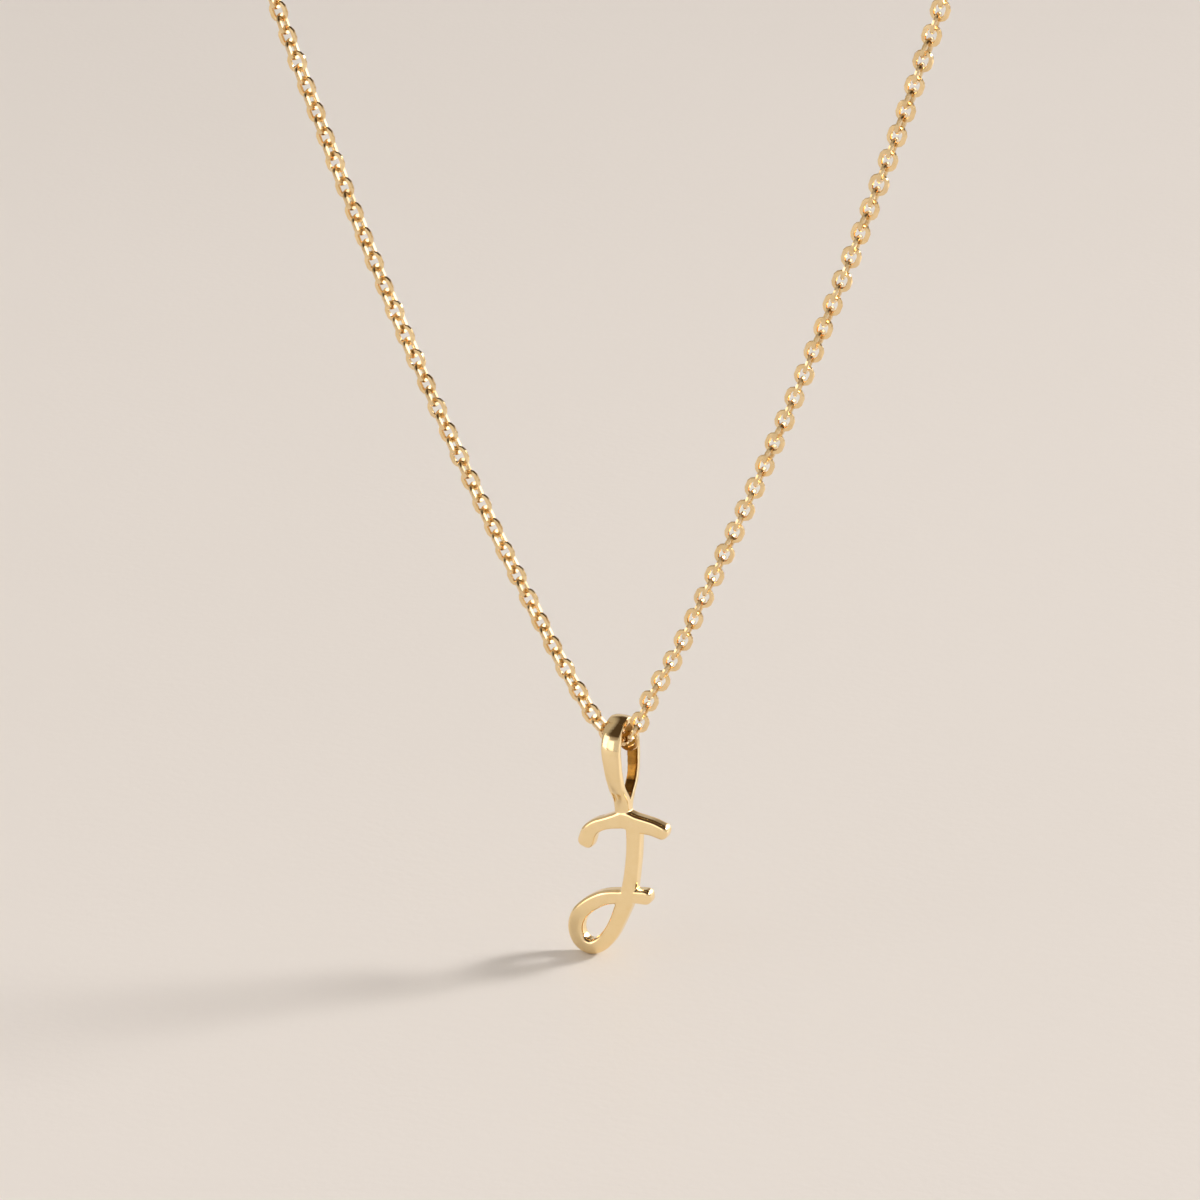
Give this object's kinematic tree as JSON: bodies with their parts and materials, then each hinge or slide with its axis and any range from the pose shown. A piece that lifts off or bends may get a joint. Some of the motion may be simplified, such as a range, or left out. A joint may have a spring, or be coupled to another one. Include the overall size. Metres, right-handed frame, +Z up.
{
  "type": "initial pendant on its cable-chain necklace",
  "caption": "Polished script letter pendant with a drop-shaped bail, hanging on a fine closed cable chain with a plain ring clasp.",
  "frame": {"origin": "centre of the clasp's ring at the top of the loop, where the necklace hangs at the nape", "axes": "+Z up, the necklace hangs in the plane y = 0, and the letter faces -Y with its start on the -X side"},
  "size_m": [0.0953, 0.0042, 0.2074],
  "materials": {
    "polished_gold": "high polish, flat front with softly rounded rims",
    "chain_gold": "polished fine cable links",
    "clasp_gold": "polished round wire"
  },
  "bodies": {
    "necklace": {"chain_left": "chain_gold", "chain_right": "chain_gold", "clasp": "clasp_gold"},
    "pendant": {"pendant": "polished_gold"}
  },
  "joints": [
    {"name": "pendant_swing", "type": "hinge", "parent": "necklace", "child": "pendant", "pos_m": [0, 0, -0.1875], "axis": [1, 0, 0], "range_deg": [-90, 90]}
  ]
}
